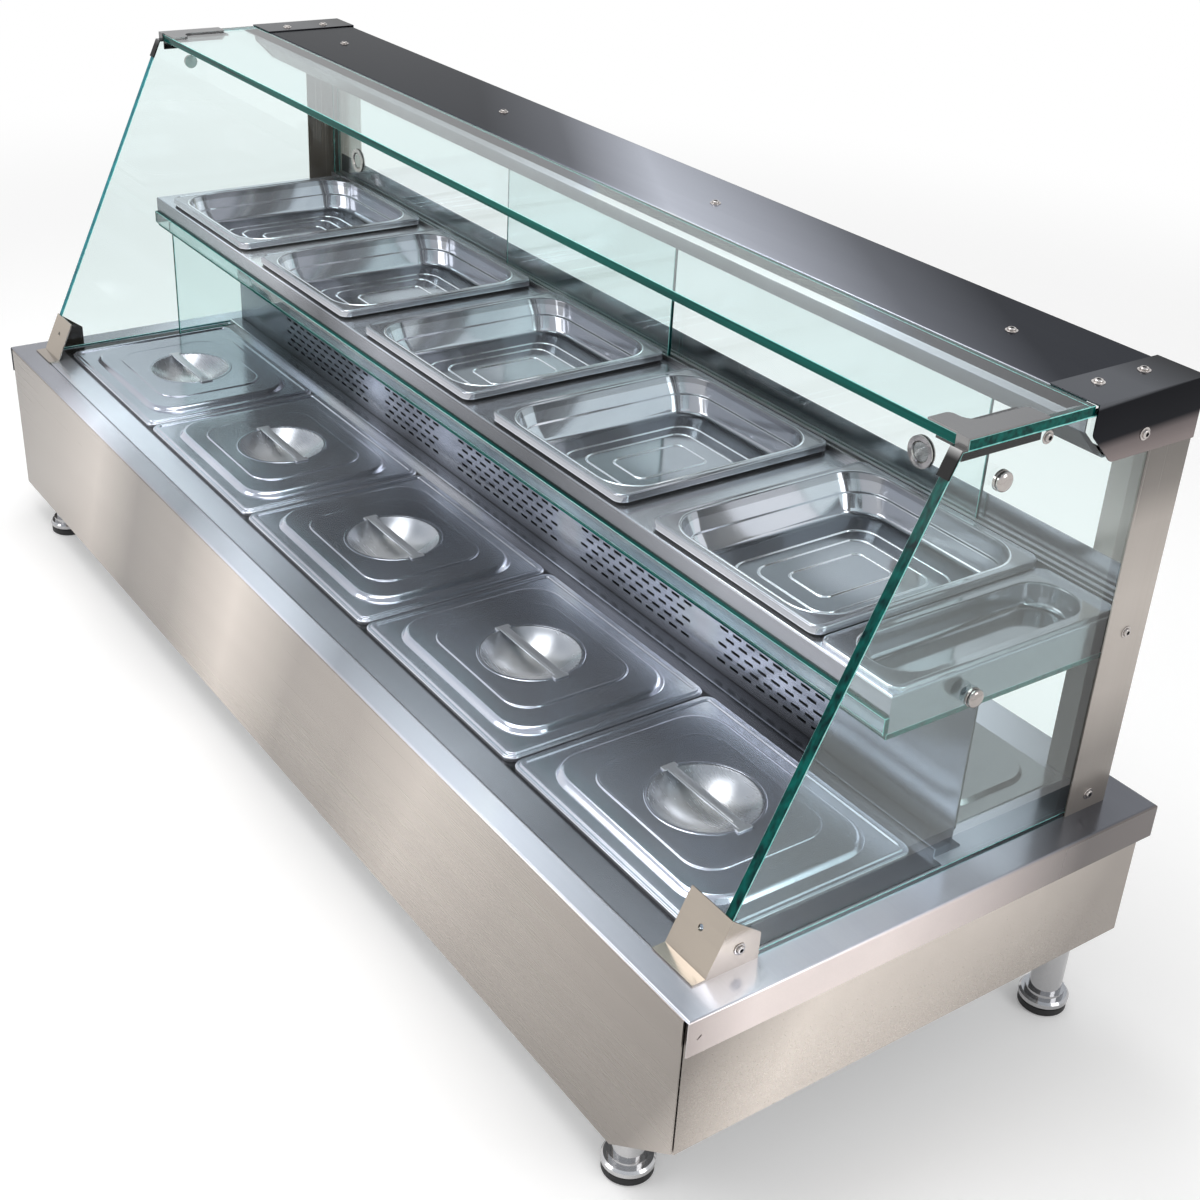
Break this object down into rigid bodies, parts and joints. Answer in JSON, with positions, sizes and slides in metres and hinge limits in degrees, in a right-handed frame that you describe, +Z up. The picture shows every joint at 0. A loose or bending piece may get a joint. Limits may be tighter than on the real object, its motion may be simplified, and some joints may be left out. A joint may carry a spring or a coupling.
{
  "type": "food warmer",
  "caption": "Countertop food warmer with a heated well of lidded pans, a heated shelf of open pans and a glass case open at the front with sliding rear doors.",
  "frame": {"origin": "on the floor below the middle of the deck", "axes": "+X right seen from the customer side, -Y towards the customer, +Z up"},
  "size_m": [1.8, 0.62, 0.7687],
  "materials": {
    "deck_steel": "satin rolled stainless",
    "rail_steel": "satin stainless",
    "panel_steel": "long brushed stainless",
    "inner_steel": "mill finish stainless",
    "pan_steel": "pressed, bright annealed",
    "lid_steel": "pressed, bright annealed",
    "canopy_steel": "dark satin stainless",
    "cap_steel": "polished stainless",
    "post_steel": "brushed stainless",
    "bracket_steel": "polished stainless",
    "shelf_steel": "satin stainless",
    "leg_chrome": "polished",
    "foot_rubber": "matt black",
    "case_glass": "clear tempered, green edge",
    "shelf_pane": "clear tempered, green edge",
    "door_pane": "clear tempered, green edge",
    "bright_metal": "polished",
    "track_metal": "mill finish",
    "heater_metal": "heat darkened",
    "valve_brass": "cast and turned",
    "lever_paint": "dark grey enamel",
    "lamp_paint": "white enamel",
    "lamp_opal": "opal",
    "control_plastic": "fine grain black",
    "rocker_plastic": "smooth black",
    "pilot_amber": "clear amber"
  },
  "bodies": {
    "cabinet": {"deck_top": "deck_steel", "front_apron": "panel_steel", "end_panel_left": "panel_steel", "end_panel_right": "panel_steel", "rear_panel": "panel_steel", "base_pan": "inner_steel", "legs": "leg_chrome", "foot_pads": "foot_rubber", "well_top": "deck_steel", "well_tank": "inner_steel", "immersion_heater": "heater_metal", "drain_valve": "valve_brass", "ledge_rail": "rail_steel", "vent_riser": "rail_steel", "rear_deck_covers": "deck_steel", "end_glass_left": "case_glass", "end_glass_right": "case_glass", "top_glass": "case_glass", "lower_brackets": "bracket_steel", "upper_brackets": "bracket_steel", "canopy_top": "canopy_steel", "canopy_end_caps": "cap_steel", "rear_posts": "post_steel", "lamp_batten": "lamp_paint", "lamp_tube": "lamp_opal", "upper_shelf": "shelf_steel", "shelf_glass": "shelf_pane", "shelf_heater": "heater_metal", "shelf_side_pane": "shelf_pane", "door_track_lower": "track_metal", "door_track_upper": "track_metal", "glass_knobs": "bright_metal", "case_screws": "bright_metal", "thermostat_body": "control_plastic", "switch_body": "control_plastic", "pilot_lens": "pilot_amber", "cable_gland": "control_plastic"},
    "front_pan_1": {"front_pan_1": "pan_steel"},
    "front_lid_1": {"front_lid_1": "lid_steel"},
    "front_pan_2": {"front_pan_2": "pan_steel"},
    "front_lid_2": {"front_lid_2": "lid_steel"},
    "front_pan_3": {"front_pan_3": "pan_steel"},
    "front_lid_3": {"front_lid_3": "lid_steel"},
    "front_pan_4": {"front_pan_4": "pan_steel"},
    "front_lid_4": {"front_lid_4": "lid_steel"},
    "front_pan_5": {"front_pan_5": "pan_steel"},
    "front_lid_5": {"front_lid_5": "lid_steel"},
    "shelf_pan_1": {"shelf_pan_1": "pan_steel"},
    "shelf_pan_2": {"shelf_pan_2": "pan_steel"},
    "shelf_pan_3": {"shelf_pan_3": "pan_steel"},
    "shelf_pan_4": {"shelf_pan_4": "pan_steel"},
    "shelf_pan_5": {"shelf_pan_5": "pan_steel"},
    "narrow_tray": {"narrow_tray": "pan_steel"},
    "door_left": {"door_left": "door_pane", "door_pull_left": "bright_metal"},
    "door_right": {"door_right": "door_pane", "door_pull_right": "bright_metal"},
    "thermostat_dial": {"thermostat_dial": "control_plastic"},
    "switch_rocker": {"switch_rocker": "rocker_plastic"},
    "drain_lever": {"drain_lever": "lever_paint"}
  },
  "joints": [
    {"name": "front_pan_1_lift", "type": "slide", "parent": "cabinet", "child": "front_pan_1", "axis": [0, 0, 1], "range_m": [0, 0.07]},
    {"name": "front_lid_1_lift", "type": "slide", "parent": "front_pan_1", "child": "front_lid_1", "axis": [0, 0, 1], "range_m": [0, 0.08]},
    {"name": "front_pan_2_lift", "type": "slide", "parent": "cabinet", "child": "front_pan_2", "axis": [0, 0, 1], "range_m": [0, 0.07]},
    {"name": "front_lid_2_lift", "type": "slide", "parent": "front_pan_2", "child": "front_lid_2", "axis": [0, 0, 1], "range_m": [0, 0.08]},
    {"name": "front_pan_3_lift", "type": "slide", "parent": "cabinet", "child": "front_pan_3", "axis": [0, 0, 1], "range_m": [0, 0.07]},
    {"name": "front_lid_3_lift", "type": "slide", "parent": "front_pan_3", "child": "front_lid_3", "axis": [0, 0, 1], "range_m": [0, 0.08]},
    {"name": "front_pan_4_lift", "type": "slide", "parent": "cabinet", "child": "front_pan_4", "axis": [0, 0, 1], "range_m": [0, 0.07]},
    {"name": "front_lid_4_lift", "type": "slide", "parent": "front_pan_4", "child": "front_lid_4", "axis": [0, 0, 1], "range_m": [0, 0.08]},
    {"name": "front_pan_5_lift", "type": "slide", "parent": "cabinet", "child": "front_pan_5", "axis": [0, 0, 1], "range_m": [0, 0.07]},
    {"name": "front_lid_5_lift", "type": "slide", "parent": "front_pan_5", "child": "front_lid_5", "axis": [0, 0, 1], "range_m": [0, 0.08]},
    {"name": "shelf_pan_1_lift", "type": "slide", "parent": "cabinet", "child": "shelf_pan_1", "axis": [0, 0, 1], "range_m": [0, 0.1]},
    {"name": "shelf_pan_2_lift", "type": "slide", "parent": "cabinet", "child": "shelf_pan_2", "axis": [0, 0, 1], "range_m": [0, 0.1]},
    {"name": "shelf_pan_3_lift", "type": "slide", "parent": "cabinet", "child": "shelf_pan_3", "axis": [0, 0, 1], "range_m": [0, 0.1]},
    {"name": "shelf_pan_4_lift", "type": "slide", "parent": "cabinet", "child": "shelf_pan_4", "axis": [0, 0, 1], "range_m": [0, 0.1]},
    {"name": "shelf_pan_5_lift", "type": "slide", "parent": "cabinet", "child": "shelf_pan_5", "axis": [0, 0, 1], "range_m": [0, 0.1]},
    {"name": "narrow_tray_lift", "type": "slide", "parent": "cabinet", "child": "narrow_tray", "axis": [0, 0, 1], "range_m": [0, 0.1]},
    {"name": "door_left_slide", "type": "slide", "parent": "cabinet", "child": "door_left", "axis": [1, 0, 0], "range_m": [0, 0.742]},
    {"name": "door_right_slide", "type": "slide", "parent": "cabinet", "child": "door_right", "axis": [1, 0, 0], "range_m": [-0.532, 0.21]},
    {"name": "thermostat_turn", "type": "hinge", "parent": "cabinet", "child": "thermostat_dial", "pos_m": [0.59, 0.284, 0.2], "axis": [0, 1, 0], "range_deg": [0, 300]},
    {"name": "switch_tilt", "type": "hinge", "parent": "cabinet", "child": "switch_rocker", "pos_m": [0.5, 0.278, 0.2], "axis": [1, 0, 0], "range_deg": [0, 14]},
    {"name": "drain_turn", "type": "hinge", "parent": "cabinet", "child": "drain_lever", "pos_m": [0.64, -0.025, 0.079], "axis": [0, 1, 0], "range_deg": [0, 90]}
  ]
}
